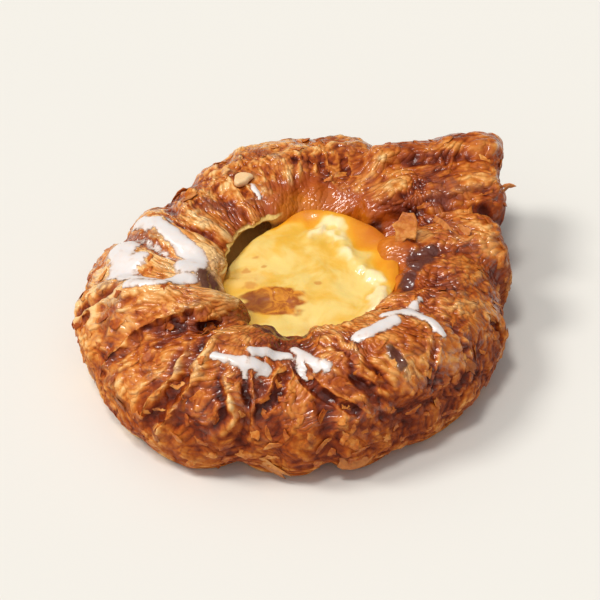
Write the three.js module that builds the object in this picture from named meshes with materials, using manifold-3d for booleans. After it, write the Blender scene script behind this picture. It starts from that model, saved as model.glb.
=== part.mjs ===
// A ring-shaped custard Danish. One rope of laminated dough is twisted, coiled into a ring and baked round a
// pool of custard, so the ring is a row of swollen turns with a crease between each pair, and the rope's two
// ends stick out side by side at the back right. Millimetres, +Z up, X to the right and Y to the back.

import * as THREE from "three";
import { mergeVertices } from "three/addons/utils/BufferGeometryUtils.js";
import Module from "manifold-3d";

// Driving dimensions
const ropeCrest = 34; // usual height of the ring above the table
const ropeOuter = 58; // usual reach of the ring from the middle of the custard
const tableCut = 2.2; // how much of each turn's round underside is baked flat
const crestLean = 2.6; // how far a turn's crest sits nearer the middle than its waist
const sectionPower = 2.35; // 2 is an ellipse, more is a squarer section
const endPower = 2.9; // the same, for the way that a turn swells between its two creases
const tailPower = 6; // and for the cut ends of the rope
const tailFlare = 0.14; // how much wider a rope's end is than its middle, as a share
const floorHeight = 11; // the dough under the custard
const heartOuter = 47; // the rope's solid heart, inside all of its turns
const heartInner = 25;
const heartHeight = 26;
const custardRim = 25.6; // height of the custard where it meets the dough
const custardDome = 1.6; // how much higher its middle is
const custardSlope = 0.05; // and how steeply it rises to the back right
const custardMiddle = [1, -2]; // where the middle of the pool lies
const custardRadius = 21.4;
const custardFootRadius = 17;
const seatGap = 0.3; // between the custard and the dough that holds it

// How finely the curved faces are cut
const turnSides = 22;
const turnBands = 12;
const poolSides = 60;
const poolRings = 5;

// Each turn of the rope, counter-clockwise from the right. at: the angle of its crest round the ring.
// along: its half length along the ring, in mm at the middle of the rope. out, in and tall: its outer
// reach, inner reach and height. trail: how far its foot lags behind its crest, in degrees. sweep: how far
// its inner side runs ahead of its outer side, in degrees, because the rope is twisted.
const turns = [
  { at: 64, along: 13, out: 58.5, in: 21.5, tall: 32, trail: 0, sweep: 14 },
  { at: 81, along: 14, out: 59.5, in: 20.5, tall: 33, trail: 2, sweep: 8 },
  { at: 101, along: 17, out: 58, in: 20, tall: 34, trail: 2, sweep: 6 },
  { at: 120, along: 12, out: 54.5, in: 21, tall: 33, trail: 2, sweep: 10 },
  { at: 138, along: 16, out: 51.5, in: 22, tall: 31.5, trail: 2, sweep: 14 },
  { at: 156, along: 10, out: 51, in: 21.5, tall: 32.5, trail: 3, sweep: 22 },
  { at: 172, along: 13, out: 54, in: 21, tall: 34.5, trail: 3, sweep: 30 },
  { at: 191, along: 13, out: 58, in: 20.5, tall: 34.5, trail: 4, sweep: 30 },
  { at: 213, along: 14, out: 60.5, in: 20.5, tall: 37, trail: 8, sweep: 32 },
  { at: 229, along: 12, out: 60, in: 24, tall: 31, trail: 6, sweep: 24 },
  { at: 246, along: 18, out: 60, in: 24, tall: 34.5, trail: 10, sweep: 14 },
  { at: 267, along: 13, out: 57.5, in: 24, tall: 32.5, trail: 3, sweep: 4 },
  { at: 284, along: 12, out: 56.5, in: 23.5, tall: 34, trail: -6, sweep: -8 },
  { at: 306, along: 19, out: 57, in: 24, tall: 34.5, trail: -8, sweep: -12 },
  { at: 331, along: 14, out: 56.5, in: 22.5, tall: 32.5, trail: -6, sweep: -14 },
  { at: 351, along: 14, out: 55.5, in: 22.5, tall: 32, trail: -4, sweep: -8 },
];

// The two ends of the rope and the fold on top of the upper one, as straight rolls. from and to: the middle
// of each end, seen from above. wide: half the roll's width. tall: its height.
const tails = [
  { from: [20, 3], to: [57, 14], wide: 11.5, tall: 32 },
  { from: [14, 23], to: [59, 36.5], wide: 11.5, tall: 33.5 },
  { from: [14, 36], to: [56, 44], wide: 9.5, tall: 35.5 },
];

// Dark slits where one turn has lifted off the next. at, reach and height: the middle of the slit. long: its
// length. wide: its width. deep: how far it cuts into the roll. Each starts upright and facing the middle of
// the ring; pitch lays it over backwards, lean tips it sideways, and heading is the way it then faces.
const gaps = [
  { at: 342, reach: 55.5, height: 20, long: 13, wide: 1.6, deep: 5, pitch: 0, lean: 6, heading: 342 },
  { at: 194, reach: 57, height: 20, long: 12, wide: 1.6, deep: 6, pitch: 0, lean: -14, heading: 194 },
  { at: 230, reach: 36, height: 31, long: 11, wide: 2, deep: 5, pitch: 90, lean: 38, heading: 19 },
];

// Where the custard has shrunk back from the dough: the middle and half length of the arc in degrees, and
// how far its rim draws in, as a share of its radius.
const shrink = { at: 146, half: 56, share: 0.17 };

// The hollow that the shrinking leaves under the dough's inner lip
const hollow = { at: 146, reach: 20.5, height: 23, long: 15, deep: 4.5, tall: 5.5 };

const wasm = await Module();
wasm.setup();

const radians = THREE.MathUtils.degToRad;
const powered = (value, power) => Math.sign(value) * Math.abs(value) ** power;

function solidOf(geometry) {
  const shape = geometry.clone();
  shape.deleteAttribute("normal");
  shape.deleteAttribute("uv");
  const merged = mergeVertices(shape, 1e-4);
  return new wasm.Manifold(
    new wasm.Mesh({
      numProp: 3,
      vertProperties: new Float32Array(merged.attributes.position.array),
      triVerts: new Uint32Array(merged.index.array),
    }),
  );
}

function geometryOf(solid) {
  const mesh = solid.getMesh();
  const geometry = new THREE.BufferGeometry();
  geometry.setAttribute("position", new THREE.BufferAttribute(mesh.vertProperties, 3));
  geometry.setIndex(new THREE.BufferAttribute(mesh.triVerts, 1));
  geometry.computeVertexNormals();
  return geometry;
}

// Moves every vertex of a geometry to where the function puts it.
function reshaped(geometry, place) {
  const position = geometry.attributes.position;
  const point = new THREE.Vector3();
  for (let i = 0; i < position.count; i += 1) {
    place(point.fromBufferAttribute(position, i));
    position.setXYZ(i, point.x, point.y, point.z);
  }
  return geometry;
}

// A ball pulled out to a rope's squarish section. Its poles, on the Y axis, become the roll's two ends.
// place turns the share of the way across (-1 to 1), up (-1 to 1) and along (-1 to 1) into a point.
function rollSolid(power, place) {
  const ball = new THREE.SphereGeometry(1, turnSides, turnBands);
  const round = 2 / sectionPower;
  reshaped(ball, (p) => {
    const side = Math.hypot(p.x, p.z);
    const swell = (1 - Math.abs(p.y) ** power) ** (1 / power);
    const across = side > 1e-6 ? powered(p.x / side, round) * swell : 0;
    const up = side > 1e-6 ? powered(p.z / side, round) * swell : 0;
    place(p, across, up, p.y);
  });
  return solidOf(ball);
}

// Height above the table of a share of the way up a roll.
const heightIn = (tall, up) => ((tall + tableCut) / 2) * (1 + up) - tableCut;

// One turn of the rope, bent along the ring.
function turnSolid({ at, along, out, in: inner, tall, trail, sweep }) {
  const middle = (out + inner) / 2;
  const halfWidth = (out - inner) / 2;
  return rollSolid(endPower, (p, across, up, share) => {
    const reach = middle + halfWidth * across - crestLean * up;
    const behind = (trail * (1 - up) + sweep * across) / 2;
    const angle = radians(at - behind) + (along * share) / middle;
    p.set(reach * Math.cos(angle), reach * Math.sin(angle), heightIn(tall, up));
  });
}

// One end of the rope, a straight roll cut off nearly square.
function tailSolid({ from, to, wide, tall }) {
  const start = new THREE.Vector2(...from);
  const half = new THREE.Vector2(...to).sub(start).multiplyScalar(0.5);
  const middle = start.add(half);
  const heading = half.clone().normalize();
  return rollSolid(tailPower, (p, across, up, share) => {
    const ahead = half.length() * share;
    const aside = -wide * across * (1 + tailFlare * share);
    p.set(
      middle.x + heading.x * ahead - heading.y * aside,
      middle.y + heading.y * ahead + heading.x * aside,
      heightIn(tall, up),
    );
  });
}

// A thin lens-shaped cutter.
function gapSolid({ at, reach, height, long, wide, deep, pitch, lean, heading }) {
  const lens = new THREE.SphereGeometry(1, 12, 8);
  lens.scale(deep, wide / 2, long / 2);
  lens.rotateY(radians(pitch));
  lens.rotateX(radians(lean));
  lens.rotateZ(radians(heading));
  lens.translate(reach * Math.cos(radians(at)), reach * Math.sin(radians(at)), height);
  return solidOf(lens);
}

// The pool's outline, a slightly uneven circle, as a share of its round radius.
const poolWobble = (angle) => 1 + 0.03 * Math.cos(2 * angle + 0.6) + 0.02 * Math.cos(3 * angle - 1.1);

// How far the custard's rim is drawn in at an angle, as a share of its radius.
function drawnIn(angle) {
  const away = Math.abs(angle - radians(shrink.at)) / radians(shrink.half);
  return away < 1 ? shrink.share * Math.cos((away * Math.PI) / 2) ** 1.2 : 0;
}

// The custard's bowl-shaped slug with its domed top, grown by a margin and drawn in by its shrinking or not.
function poolSolid(margin, shrunk) {
  const profile = [new THREE.Vector2(0, floorHeight - margin)];
  for (let i = 0; i <= poolRings; i += 1) {
    const share = i / poolRings;
    const radius = custardFootRadius + (custardRadius - custardFootRadius) * share ** 0.6;
    const height = floorHeight + (custardRim - floorHeight) * share + margin * (2 * share - 1);
    profile.push(new THREE.Vector2(radius + margin, height));
  }
  for (let i = poolRings - 1; i > 0; i -= 1) {
    const share = i / poolRings;
    const height = custardRim + custardDome * (1 - share ** 2) + margin;
    profile.push(new THREE.Vector2((custardRadius + margin) * share, height));
  }
  profile.push(new THREE.Vector2(0, custardRim + custardDome + margin));
  const slug = new THREE.LatheGeometry(profile, poolSides);
  slug.rotateX(Math.PI / 2);
  reshaped(slug, (p) => {
    const angle = Math.atan2(p.y, p.x);
    const depth = Math.max(0, (p.z - floorHeight) / (custardRim - floorHeight));
    const wide = poolWobble(angle) * (1 - (shrunk ? drawnIn(angle) * Math.min(1, depth) : 0));
    const climb = p.z > floorHeight + 1 ? custardSlope * (p.x + p.y) : 0;
    p.set(p.x * wide + custardMiddle[0], p.y * wide + custardMiddle[1], p.z + climb);
  });
  return solidOf(slug);
}

function hollowSolid() {
  const ball = new THREE.SphereGeometry(1, 18, 12);
  ball.scale(hollow.deep, hollow.long, hollow.tall);
  ball.rotateZ(radians(hollow.at));
  ball.translate(
    hollow.reach * Math.cos(radians(hollow.at)),
    hollow.reach * Math.sin(radians(hollow.at)),
    hollow.height,
  );
  return solidOf(ball);
}

// The disc of dough under the custard and the heart of the rope round it, which the turns are wound over.
function heartSolid() {
  const profile = [
    [0, -1],
    [heartOuter - 3, -1],
    [heartOuter, 6],
    [heartOuter - 1, heartHeight - 6],
    [heartOuter - 5, heartHeight],
    [heartInner + 5, heartHeight],
    [heartInner, heartHeight - 6],
    [heartInner, floorHeight],
    [0, floorHeight],
  ];
  const disc = new THREE.LatheGeometry(profile.map(([x, y]) => new THREE.Vector2(x, y)), 40);
  disc.rotateX(Math.PI / 2);
  return solidOf(disc);
}

function tableSolid() {
  const table = new THREE.BoxGeometry(4 * ropeOuter, 4 * ropeOuter, ropeCrest);
  table.translate(0, 0, -ropeCrest / 2);
  return solidOf(table);
}

function doughSolid() {
  let dough = heartSolid();
  for (const turn of turns) dough = dough.add(turnSolid(turn));
  for (const tail of tails) dough = dough.add(tailSolid(tail));
  dough = dough.subtract(tableSolid()).subtract(poolSolid(seatGap, false)).subtract(hollowSolid());
  for (const gap of gaps) dough = dough.subtract(gapSolid(gap));
  return dough;
}

function named(name, solid, color, roughness) {
  const material = new THREE.MeshStandardMaterial({ color, roughness, metalness: 0 });
  const mesh = new THREE.Mesh(geometryOf(solid), material);
  mesh.name = name;
  return mesh;
}

const pastry = new THREE.Group();
pastry.add(named("dough", doughSolid(), 0xb4703a, 0.55));
pastry.add(named("custard", poolSolid(0, true), 0xf3c667, 0.3));

// The frame's origin is the middle of the pastry's box, on the table.
const box = new THREE.Box3().setFromObject(pastry);
const centre = box.getCenter(new THREE.Vector3());
pastry.position.set(-centre.x, -centre.y, -box.min.z);

export default pastry;
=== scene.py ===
# %% [markdown]
# # A ring Danish with custard
# One rope of laminated dough is twisted, coiled into a ring and baked round a pool of custard. This lesson
# gives its plain solids a baked surface: folds, pleats, blisters and flakes, then custard, icing and glaze.
# The solids come in first and give every place and size.

# %% The frame
import itertools
import math

import bpy
import numpy as np
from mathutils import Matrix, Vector
from mathutils.bvhtree import BVHTree


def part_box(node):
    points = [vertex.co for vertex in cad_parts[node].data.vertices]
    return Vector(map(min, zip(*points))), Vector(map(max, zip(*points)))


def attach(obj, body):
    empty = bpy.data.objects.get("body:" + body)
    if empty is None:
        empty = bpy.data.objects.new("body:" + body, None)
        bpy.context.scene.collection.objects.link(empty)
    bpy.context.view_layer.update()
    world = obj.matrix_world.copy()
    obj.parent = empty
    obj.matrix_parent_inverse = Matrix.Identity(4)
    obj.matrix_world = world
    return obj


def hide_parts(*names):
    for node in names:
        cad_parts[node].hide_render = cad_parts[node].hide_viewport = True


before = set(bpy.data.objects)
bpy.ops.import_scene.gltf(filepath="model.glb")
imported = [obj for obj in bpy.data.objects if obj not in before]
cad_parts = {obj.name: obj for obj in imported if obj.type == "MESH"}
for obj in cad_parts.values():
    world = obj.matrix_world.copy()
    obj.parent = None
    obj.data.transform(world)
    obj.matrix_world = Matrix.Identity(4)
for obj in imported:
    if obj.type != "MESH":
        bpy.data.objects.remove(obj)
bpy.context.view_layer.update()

# %% [markdown]
# ## Working in millimetres round the ring
# A ring is easiest to shape from its own middle. The custard's box gives that middle, and two small helpers
# read and write a mesh as rows of millimetres measured from it. NumPy then moves all points in one step,
# where a loop over a hundred thousand points would take minutes.

# %% The middle of the ring
MM = 0.001
CUSTARD_FROM_MIDDLE = Vector((1.35, -2.38, 0)) * MM
custard_low, custard_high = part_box("custard")
custard_middle = (custard_low + custard_high) / 2
ring_middle = custard_middle - CUSTARD_FROM_MIDDLE
ring_middle.z = 0
ring_middle_mm = np.array(ring_middle) / MM
print("ring middle:", ring_middle_mm.round(2), "mm")


# %% Reading and writing points
def read_rows(items, name, width=3, kind=float):
    rows = np.empty(len(items) * width, dtype=kind)
    items.foreach_get(name, rows)
    return rows.reshape(-1, width)


def read_points(piece):
    """A piece's points in millimetres from the ring's middle."""
    return read_rows(piece.data.vertices, "co") / MM - ring_middle_mm


def face_middles(piece):
    return read_rows(piece.data.polygons, "center") / MM - ring_middle_mm


def write_points(piece, points):
    rows = (points + ring_middle_mm) * MM
    piece.data.vertices.foreach_set("co", rows.ravel())
    piece.data.update()


def around(points):
    """Each point's distance from the middle, and its angle round the middle in degrees."""
    return np.hypot(points[:, 0], points[:, 1]), np.degrees(np.arctan2(points[:, 1], points[:, 0]))


def facing(piece):
    """The way each point faces."""
    return read_rows(piece.data.vertex_normals, "vector")


def edges_of(piece):
    return read_rows(piece.data.edges, "vertices", 2, np.int64)


def keep_values(piece, name, values):
    """Stores one number for each point, for the material to read."""
    attribute = piece.data.attributes.new(name, "FLOAT", "POINT")
    attribute.data.foreach_set("value", np.asarray(values, dtype=np.float32))


def keep_vectors(piece, name, rows):
    attribute = piece.data.attributes.new(name, "FLOAT_VECTOR", "POINT")
    attribute.data.foreach_set("vector", np.asarray(rows, dtype=np.float32).ravel())


print("helpers for points are ready")

# %% [markdown]
# ## Unevenness that can be repeated
# Baked dough is uneven at every size. Three kinds of unevenness are enough: soft noise for swelling, ridges
# for pleats, and cells for blisters and broken layers. They are worked out from whole-number hashes, so the
# same pastry comes out of the oven every time.


# %% Noise, ridges and cells
def hashed(cell, seed):
    """A number from 0 to 1 for each whole-number place."""
    parts = cell.astype(np.int64).astype(np.uint32)
    mixed = parts[:, 0] * np.uint32(374761393) + parts[:, 1] * np.uint32(668265263)
    mixed = mixed + parts[:, 2] * np.uint32(2246822519) + np.uint32(seed * 974711 + 7)
    mixed = (mixed ^ (mixed >> np.uint32(15))) * np.uint32(2246822519)
    mixed = (mixed ^ (mixed >> np.uint32(13))) * np.uint32(3266489917)
    return (mixed ^ (mixed >> np.uint32(16))) / 4294967295.0


def noise(points, size, seed=0):
    """Soft noise from -1 to 1 whose bumps are about size across."""
    grid = points / size
    base = np.floor(grid)
    share = grid - base
    share = share**3 * (share * (share * 6 - 15) + 10)
    total = np.zeros(len(points))
    for corner in itertools.product((0, 1), repeat=3):
        weight = np.prod(np.where(corner, share, 1 - share), axis=1)
        total += weight * hashed(base + corner, seed)
    return total * 2 - 1


def ridges(points, size, seed=0):
    """Sharp crests with round valleys between them, from -1 to 1."""
    return 1 - 4 * np.abs(noise(points, size, seed))


def cells(points, size, seed=0):
    """For each point: how far its nearest cell centre and the next one are, and a number for its cell."""
    grid = points / size
    base = np.floor(grid)
    near = np.full(len(points), 9.0)
    second = near.copy()
    own = np.zeros(len(points))
    for step in itertools.product((-1, 0, 1), repeat=3):
        cell = base + step
        centre = cell + np.stack([hashed(cell, seed + k) for k in range(3)], axis=1)
        away = np.linalg.norm(grid - centre, axis=1)
        closer = away < near
        second = np.where(closer, near, np.minimum(second, away))
        own = np.where(closer, hashed(cell, seed + 3), own)
        near = np.where(closer, away, near)
    return near, second, own


def ease(values, low, high):
    """0 below low, 1 above high, and a smooth step between them."""
    share = np.clip((values - low) / (high - low), 0, 1)
    return share * share * (3 - 2 * share)


def between(values, low, low_end, high, high_end):
    """1 from low_end to high and 0 outside low and high_end, with a smooth step at each end."""
    return ease(values, low, low_end) * (1 - ease(values, high, high_end))


def melted(values, edges, times, share=0.6):
    """Values after each point has moved towards its neighbours' mean, again and again."""
    values = values.astype(float).copy()
    flat = values.reshape(len(values), -1)
    count = np.bincount(edges.ravel(), minlength=len(values))
    count = np.maximum(count, 1)
    for _ in range(times):
        for k in range(flat.shape[1]):
            column = flat[:, k]
            total = np.bincount(edges[:, 0], column[edges[:, 1]], len(column))
            total += np.bincount(edges[:, 1], column[edges[:, 0]], len(column))
            flat[:, k] = column + share * (total / count - column)
    return flat.reshape(values.shape)


def height_over(points, edges, outward, times):
    """How far each point stands out from a smoother copy of its surface."""
    return np.sum((points - melted(points, edges, times)) * outward, axis=1)


print("noise, ridges and cells are ready")


# %% Small modelling helpers
def deselect():
    bpy.ops.object.select_all(action="DESELECT")


def pick(piece):
    deselect()
    piece.select_set(True)
    bpy.context.view_layer.objects.active = piece


def finish_with(piece, kind, **settings):
    """Adds a modifier with these settings and applies it."""
    pick(piece)
    modifier = piece.modifiers.new(kind.lower(), kind)
    for name, value in settings.items():
        setattr(modifier, name, value)
    bpy.ops.object.modifier_apply(modifier=modifier.name)


def mode(name):
    bpy.ops.object.mode_set(mode=name)


def new_object(name, data):
    made = bpy.data.objects.new(name, data)
    bpy.context.scene.collection.objects.link(made)
    return made


def shade_smooth(piece):
    piece.data.polygons.foreach_set("use_smooth", np.ones(len(piece.data.polygons), dtype=bool))


def copy_of_solid(node, name):
    """A copy of a solid to work on, with its loose triangles joined up."""
    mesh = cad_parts[node].data.copy()
    mesh.name = name
    mesh.materials.clear()
    piece = new_object(name, mesh)
    pick(piece)
    mode("EDIT")
    bpy.ops.mesh.select_all(action="SELECT")
    bpy.ops.mesh.remove_doubles(threshold=0.00001)
    mode("OBJECT")
    return piece


def thin_out(piece, hidden, ratio):
    """Makes the chosen faces coarser, where nobody looks closely."""
    pick(piece)
    mode("EDIT")
    bpy.ops.mesh.select_mode(type="FACE")
    bpy.ops.mesh.select_all(action="DESELECT")
    mode("OBJECT")
    piece.data.polygons.foreach_set("select", hidden)
    mode("EDIT")
    bpy.ops.mesh.decimate(ratio=ratio)
    mode("OBJECT")


def triangles_of(piece):
    piece.data.calc_loop_triangles()
    return len(piece.data.loop_triangles)


print("modelling helpers are ready")

# %% [markdown]
# ## Raw dough
# The rope's turns are already in the solid, as flat facets that meet in sharp creases. A voxel remesh turns
# them into one even skin, and smoothing melts the facets the way proving does. Sculpting by hand would give
# the same, but this can be repeated. The underside and the bowl below the custard are made coarse again.

# %% Remesh and melt the dough
CRUST_VOXEL = 0.6
UNSEEN_SHARE = 0.06
crust = copy_of_solid("dough", "crust")
finish_with(crust, "REMESH", mode="VOXEL", voxel_size=CRUST_VOXEL * MM, use_smooth_shade=True)
finish_with(crust, "SMOOTH", factor=0.5, iterations=22)
middles = face_middles(crust)
underside = middles[:, 2] < 0.5
below_custard = (around(middles)[0] < 20) & (middles[:, 2] < 22)
thin_out(crust, underside | below_custard, UNSEEN_SHARE)
print("crust:", triangles_of(crust), "triangles")

# %% [markdown]
# ## Which way the rope runs
# Pleats and torn layers follow the twist, so the pattern needs places measured on the rope and not in space.
# Each point gets the angle it would have if the rope weren't twisted, and how far round the rope's section it
# lies. Together they make a grain space that is stretched along the pleats.

# %% Places on the rope
ROPE_REACH = 40
ROPE_HALF = 18
ROPE_HEIGHT = 16
# How many degrees the twist trails behind at the rope's underside, and from its inner to its outer side.
TRAIL_BY_ANGLE = {0: 0, 64: 0, 100: 2, 156: 3, 191: 4, 213: 8, 246: 10, 267: 3, 284: -6, 306: -8, 331: -6}
SWEEP_BY_ANGLE = {
    0: -2, 30: 6, 64: 14, 81: 8, 101: 6, 120: 10, 138: 14, 156: 22, 172: 30, 213: 32, 229: 24, 246: 14,
    267: 4, 284: -8, 306: -12, 331: -14,
}


def by_angle(angles, table):
    return np.interp(angles, list(table), list(table.values()), period=360)


def places_on_rope(points):
    """Untwisted angle in degrees, angle round the section in degrees, and reach."""
    reach, angle = around(points)
    across = np.clip((reach - ROPE_REACH) / ROPE_HALF, -1, 1)
    up = np.clip((points[:, 2] - ROPE_HEIGHT) / ROPE_HALF, -1, 1)
    along = angle
    for _ in range(3):
        behind = by_angle(along, TRAIL_BY_ANGLE) * (1 - up) + by_angle(along, SWEEP_BY_ANGLE) * across
        along = angle + behind / 2
    section = np.degrees(np.arctan2(points[:, 2] - ROPE_HEIGHT, reach - ROPE_REACH))
    return along, section, reach


def grain_space(points, stretch):
    """Places in a space where a pleat's length is squeezed by stretch."""
    along, section, reach = places_on_rope(points)
    turn = np.radians(along)
    round_section = np.radians(section) * ROPE_HALF * stretch
    ring = ROPE_REACH + 0.45 * (reach - ROPE_REACH)
    return np.stack([ring * np.cos(turn), ring * np.sin(turn), round_section], axis=1)


raw = read_points(crust)
crust_edges = edges_of(crust)
along, section, reach = places_on_rope(raw)
print("rope angles from", round(along.min()), "to", round(along.max()))

# %% [markdown]
# ## Creases between the turns
# No two turns of a real rope part in the same way. A crease is deepened by pushing its points away from a
# much smoother copy of the surface, or filled by bringing them back to that copy. Tables say how much at each
# angle round the ring, in degrees from the right. The outer wall is tucked in or let out in the same way.

# %% How each side of the ring rose
# How far the outer wall is tucked in, in mm: low down and at the top.
TUCK_LOW = {
    0: 0.5, 10: 3.2, 22: 7, 34: 7.5, 44: 0.5, 50: -0.5, 90: 0, 110: 0.5, 140: 1, 165: 1, 185: 0, 205: -1.8,
    225: -2, 240: -1.8, 254: 2, 264: 2.4, 274: 0.4, 283: 0, 290: 1.2, 297: 2.4, 315: 1.5, 330: 0, 345: -0.5,
}
TUCK_HIGH = {
    0: 0.5, 9: 1.9, 20: 3, 30: 4, 38: -0.5, 48: -1.8, 70: -2.2, 90: -0.6, 110: 0.2, 130: 1.5, 170: 2,
    186: 2.5, 196: 2.5, 215: 0.5, 262: 0.5, 297: 0.5, 335: -0.5,
}
OVERHANG = 5.5
# How much of its own depth each crease gains. Below 0 it loses some.
DEEPEN_BY_ANGLE = {
    0: 0.5, 30: 0, 60: 0.3, 75: 0.8, 180: 0.9, 200: 0, 215: -0.6, 235: -0.3, 250: 0.6, 270: 0.5, 285: 0.2,
    300: 0.6, 340: 0.6,
}
# How much of each crease is filled up again.
FILL_BY_ANGLE = {
    0: 0, 20: 0.5, 34: 0.85, 62: 0.85, 76: 0.2, 84: 0, 182: 0, 190: 0.55, 214: 0.85, 238: 0.8, 246: 0.2,
    278: 0.1, 284: 0.8, 292: 0.6, 300: 0.5, 330: 0.45, 345: 0,
}
ring_angle = around(raw)[1] % 360
print("tables for", len(TUCK_LOW) + len(TUCK_HIGH), "places of the wall")

# %% Where the crust may move
custard_top = custard_high.z / MM
under_custard = (reach < 23) & (raw[:, 2] < custard_top - 2)
near_bowl = 1 - ease(reach, 21, 27)
bowl_wall = near_bowl * (1 - ease(raw[:, 2], custard_top - 1, custard_top + 5))
free = melted(np.where(under_custard, 0.0, 1 - 0.75 * bowl_wall), crust_edges, 4)
off_table = ease(raw[:, 2], 0.2, 3.0)
print("free to move:", int((free * off_table > 0.5).sum()), "of", len(free), "points")

# %% Deepen or fill the creases
soft_form = melted(raw, crust_edges, 160)
outward = facing(crust)
fold = np.sum((raw - soft_form) * outward, axis=1)
low_wall = (1 - ease(raw[:, 2], 8, 17)) * ease(reach, 40, 47)
deepen = by_angle(ring_angle, DEEPEN_BY_ANGLE) * (1 - 0.5 * ease(reach, 43, 51))
gain = np.where(fold < 0, deepen * (1 - low_wall) - 0.7 * low_wall, 0.6 - 1.1 * low_wall)
formed = raw + outward * (np.clip(fold, -2.6, 2.0) * gain * free * off_table)[:, None]
fill = by_angle(ring_angle, FILL_BY_ANGLE) * ease(-fold, 0.0, 0.8) * free * off_table
formed += (soft_form - raw) * fill[:, None]
soft_fill = np.clip(melted(fill, crust_edges, 10) * 1.3, 0, 1)
formed += (melted(formed, crust_edges, 120) - formed) * soft_fill[:, None]
print("folds from", round(fold.min(), 1), "to", round(fold.max(), 1), "mm")

# %% Tuck the outer wall, and lean the back left over the gap
high_share = ease(raw[:, 2], 17, 30)
tuck = by_angle(ring_angle, TUCK_LOW) * (1 - high_share) + by_angle(ring_angle, TUCK_HIGH) * high_share
tuck *= ease(reach, 34, 47)
overhang = OVERHANG * between(ring_angle, 86, 112, 184, 206) * ease(raw[:, 2], 23, 28)
tuck += overhang * np.exp(-(((reach - 27) / 6.5) ** 2))
formed[:, :2] *= (1 - tuck / np.maximum(reach, 1))[:, None]
write_points(crust, formed)
print("tuck from", round(tuck.min(), 1), "to", round(tuck.max(), 1), "mm")

# %% [markdown]
# ## Creases drawn one by one
# Some creases aren't between turns: the edge of a tongue of dough, the mouth of an arch, the roll at the end.
# Each is a stroke over the rope, given by angles round the ring and round the rope's section, with a depth,
# a width and a raised lip on one side. A stroke is quick to move. A sculpted dent would be started again.

# %% Strokes over the rope
# Each stroke: depth, width and lip in mm, then its places in degrees. A lip below 0 is on the right.
crease_strokes = [
    (2.2, 1.3, 0.5, [(197, 62), (193, 44), (190, 24), (188, 0)]),
    (0.5, 0.9, -0.6, [(229, 120), (224, 85), (219, 68), (215, 48), (212, 20), (211, -10)]),
    (1.9, 1.6, 1.5, [(234, 88), (236, 72), (236, 50), (235, 28), (232, 8), (230, -8)]),
    (0.6, 0.8, 0.2, [(224, 82), (222, 66), (221, 52)]),
    (1.1, 1.1, 0.6, [(230, 68), (231, 42), (227, 20), (226, 0)]),
    (1.2, 1.1, 0.8, [(246, 66), (247, 44), (250, 26), (248, 10)]),
    (1.0, 1.0, 0.7, [(252, 70), (254, 54), (256, 36)]),
    (1.2, 1.1, -0.8, [(266, 80), (264, 66), (262, 46), (258, 26)]),
    (1.0, 1.0, 0.6, [(269, 92), (271, 78), (274, 60), (279, 46), (284, 34), (288, 22)]),
    (1.0, 1.2, 0.4, [(284, 104), (286, 84), (288, 62), (291, 44), (295, 30)]),
    (0.6, 0.8, 0.3, [(291, 78), (294, 64), (297, 46)]),
    (0.7, 0.9, 0.3, [(317, 64), (311, 50), (307, 28)]),
    (0.7, 0.9, 0.3, [(329, 70), (325, 46), (324, 24), (319, 4)]),
    (0.2, 1.2, 0.2, [(288, 20), (296, 17), (304, 15), (315, 8), (327, 4)]),
    (0.4, 1.1, 0.3, [(58, 144), (57, 120), (55, 90), (50, 70), (45, 54)]),
    (0.4, 0.9, 0.2, [(38, 108), (40, 90), (40, 70), (37, 54)]),
    (0.4, 1.1, 0.4, [(47, 68), (43, 54), (39, 42), (36, 32)]),
    (0.6, 1.1, -0.6, [(24, 130), (31, 102), (30, 72), (27, 48), (24, 28)]),
    (0.6, 0.9, 0.3, [(83, 86), (78, 116), (72, 134)]),
    (0.5, 0.8, 0.3, [(94, 88), (92, 114), (90, 134)]),
    (0.5, 0.8, 0.3, [(74, 74), (69, 106)]),
    (1.1, 1.0, 0.4, [(155, 80), (161, 104), (162, 120), (164, 136), (156, 165)]),
    (0.7, 0.9, 0.3, [(172, 80), (178, 98), (185, 110), (192, 116)]),
    (0.6, 0.8, 0.2, [(120, 98), (122, 126), (120, 142)]),
    (0.7, 0.8, 0.4, [(201, 34), (202, 48), (204, 60), (207, 74)]),
]


def stroke_height(points, deep, wide, lip, places):
    """How far one stroke moves each point in or out."""
    reach, ring = around(points)
    section = np.arctan2(points[:, 2] - ROPE_HEIGHT, reach - ROPE_REACH) * ROPE_HALF
    lean = noise(points, 5, 31) * 0.9 + noise(points, 2.2, 32) * 0.35
    best = np.full(len(points), 99.0)
    signed = best.copy()
    strength = np.zeros(len(points))
    pieces = len(places) - 1
    half_turn = math.pi * ROPE_HALF
    for step, (start, end) in enumerate(zip(places, places[1:])):
        from_start = (ring - start[0] + 180) % 360 - 180
        x = np.radians(from_start) * reach + lean
        y = section - math.radians(start[1]) * ROPE_HALF
        y = (y + half_turn) % (2 * half_turn) - half_turn
        way_x = math.radians(end[0] - start[0]) * reach
        way_y = np.full(len(points), math.radians(end[1] - start[1]) * ROPE_HALF)
        length = np.hypot(way_x, way_y)
        share = np.clip((x * way_x + y * way_y) / length**2, 0, 1)
        off_x, off_y = x - share * way_x, y - share * way_y
        away = np.hypot(off_x, off_y)
        closer = away < best
        best = np.where(closer, away, best)
        signed = np.where(closer, np.sign(way_x * off_y - way_y * off_x) * away, signed)
        total = (step + share) / pieces
        strength = np.where(closer, np.clip(np.minimum(total, 1 - total) * 5 + 0.25, 0, 1), strength)
    height = -deep * np.exp(-((best / wide) ** 2))
    height += abs(lip) * np.exp(-(((signed * np.sign(lip) - wide * 1.7) / (wide * 1.1)) ** 2))
    return height * strength


print(len(crease_strokes), "strokes are ready")

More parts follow.
